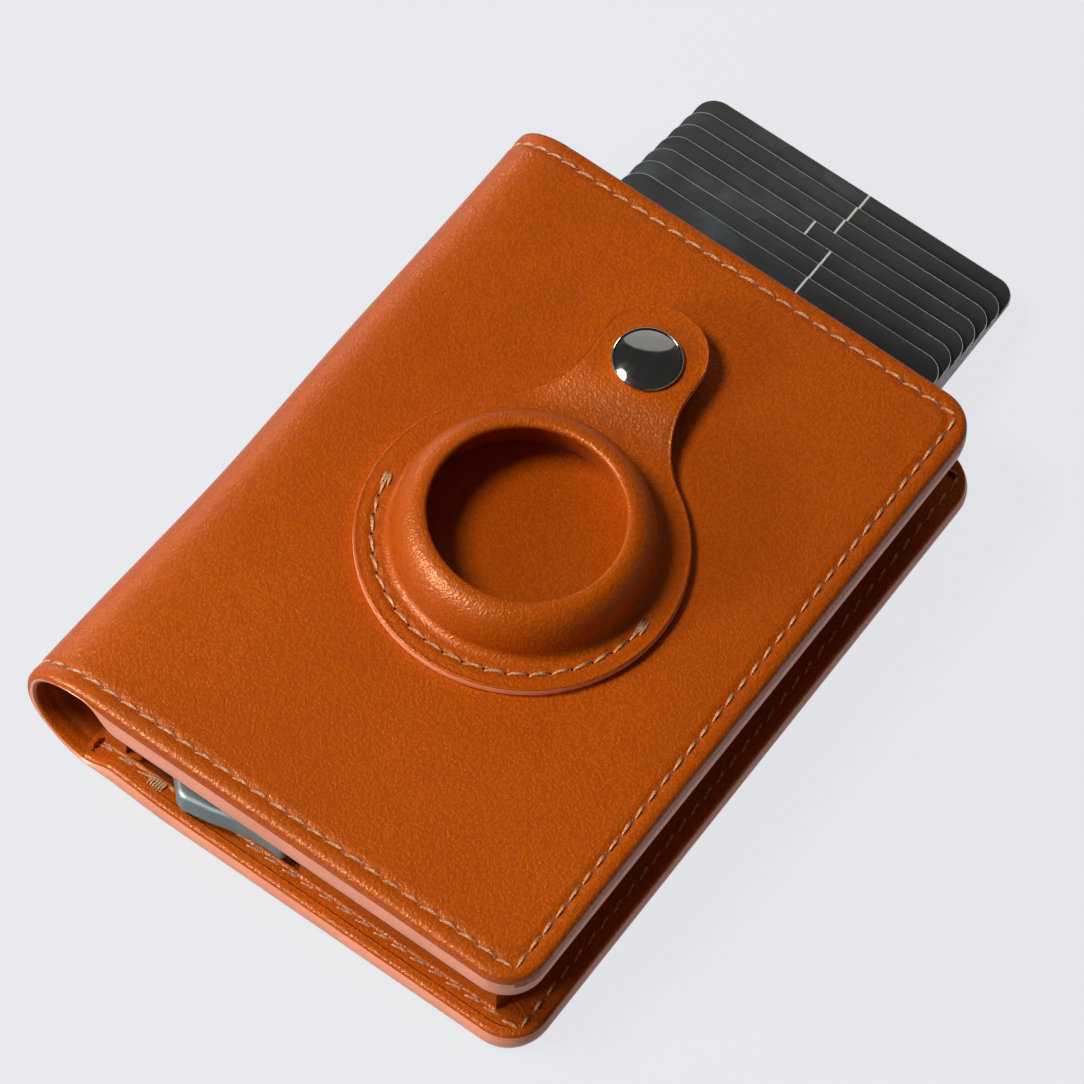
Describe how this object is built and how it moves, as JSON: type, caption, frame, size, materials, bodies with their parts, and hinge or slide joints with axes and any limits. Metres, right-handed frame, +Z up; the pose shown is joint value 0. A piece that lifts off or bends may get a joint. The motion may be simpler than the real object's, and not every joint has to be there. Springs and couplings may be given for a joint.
{
  "type": "pop-up card wallet with tracker tag pouch",
  "caption": "Folding leather wallet with a stitched round tracker tag pouch on the front, a press stud tab, and a metal card case whose lever fans the cards out.",
  "frame": {"origin": "centre of the rear cover's outer face, which the wallet lies on", "axes": "+X from the spine to the free edge, +Y up the covers to the end where the cards come out, +Z up through the covers to the tag pouch"},
  "size_m": [0.0833, 0.1407, 0.0293],
  "materials": {
    "tan_leather": "pebbled, soft sheen",
    "lining_leather": "smooth, matt",
    "card_board": "matt",
    "foam_padding": "matt",
    "black_felt": "matt",
    "waxed_thread": "waxed",
    "anodised_case": "anodised, satin",
    "gunmetal_lever": "anodised, satin",
    "steel_pin": "bright",
    "gunmetal_snap": "polished gunmetal plate",
    "nickel_snap": "nickel plate",
    "black_card": "satin laminate"
  },
  "bodies": {
    "rear_cover": {"rear_cover_leather": "tan_leather", "rear_board": "card_board", "rear_lining": "lining_leather", "card_sleeve": "tan_leather", "case_tube": "anodised_case", "case_end_cap": "anodised_case", "friction_felts": "black_felt", "lever_pin": "steel_pin", "rear_stitching": "waxed_thread"},
    "spine": {"spine_leather": "tan_leather", "spine_lining": "lining_leather", "spine_stitching": "waxed_thread"},
    "front_cover": {"front_cover_leather": "tan_leather", "front_padding": "foam_padding", "front_lining": "lining_leather", "note_pocket_panel": "tan_leather", "card_slot_panel": "tan_leather", "front_stitching": "waxed_thread", "tracker_pouch": "tan_leather", "pouch_stitching": "waxed_thread", "snap_stud": "nickel_snap", "stud_rivet": "nickel_snap"},
    "flap": {"pouch_flap": "tan_leather", "snap_cap": "gunmetal_snap", "snap_socket": "nickel_snap", "snap_spring": "steel_pin"},
    "lever": {"eject_lever": "gunmetal_lever"},
    "card_1": {"card_1": "black_card"},
    "card_2": {"card_2": "black_card"},
    "card_3": {"card_3": "black_card"},
    "card_4": {"card_4": "black_card"},
    "card_5": {"card_5": "black_card"},
    "card_6": {"card_6": "black_card"},
    "card_7": {"card_7": "black_card"}
  },
  "joints": [
    {"name": "spine_fold", "type": "hinge", "parent": "rear_cover", "child": "spine", "pos_m": [-0.03755, 0, 0.00322], "axis": [0, -1, 0], "range_deg": [0, 90]},
    {"name": "cover_fold", "type": "hinge", "parent": "spine", "child": "front_cover", "pos_m": [-0.03834, 0, 0.01774], "axis": [0, -1, 0], "range_deg": [0, 90]},
    {"name": "flap_lift", "type": "hinge", "parent": "front_cover", "child": "flap", "pos_m": [0.0012, -0.00103, 0.0293], "axis": [1, 0, 0], "range_deg": [0, 40]},
    {"name": "lever_swing", "type": "hinge", "parent": "rear_cover", "child": "lever", "pos_m": [-0.021, -0.0465, 0.0074], "axis": [0, 0, -1], "range_deg": [0, 52]},
    {"name": "card_1_slide", "type": "slide", "parent": "rear_cover", "child": "card_1", "axis": [0, -1, 0], "range_m": [0, 0.0116]},
    {"name": "card_2_slide", "type": "slide", "parent": "rear_cover", "child": "card_2", "axis": [0, -1, 0], "range_m": [0, 0.01492]},
    {"name": "card_3_slide", "type": "slide", "parent": "rear_cover", "child": "card_3", "axis": [0, -1, 0], "range_m": [0, 0.01824]},
    {"name": "card_4_slide", "type": "slide", "parent": "rear_cover", "child": "card_4", "axis": [0, -1, 0], "range_m": [0, 0.02156]},
    {"name": "card_5_slide", "type": "slide", "parent": "rear_cover", "child": "card_5", "axis": [0, -1, 0], "range_m": [0, 0.02488]},
    {"name": "card_6_slide", "type": "slide", "parent": "rear_cover", "child": "card_6", "axis": [0, -1, 0], "range_m": [0, 0.0282]},
    {"name": "card_7_slide", "type": "slide", "parent": "rear_cover", "child": "card_7", "axis": [0, -1, 0], "range_m": [0, 0.03152]}
  ],
  "couplings": [
    {"joint": "cover_fold", "follows": "spine_fold", "ratio": 1},
    {"joint": "card_1_slide", "follows": "lever_swing", "m_per_rad": 0.012781},
    {"joint": "card_2_slide", "follows": "lever_swing", "m_per_rad": 0.016439},
    {"joint": "card_3_slide", "follows": "lever_swing", "m_per_rad": 0.020098},
    {"joint": "card_4_slide", "follows": "lever_swing", "m_per_rad": 0.023756},
    {"joint": "card_5_slide", "follows": "lever_swing", "m_per_rad": 0.027414},
    {"joint": "card_6_slide", "follows": "lever_swing", "m_per_rad": 0.031072},
    {"joint": "card_7_slide", "follows": "lever_swing", "m_per_rad": 0.03473}
  ]
}
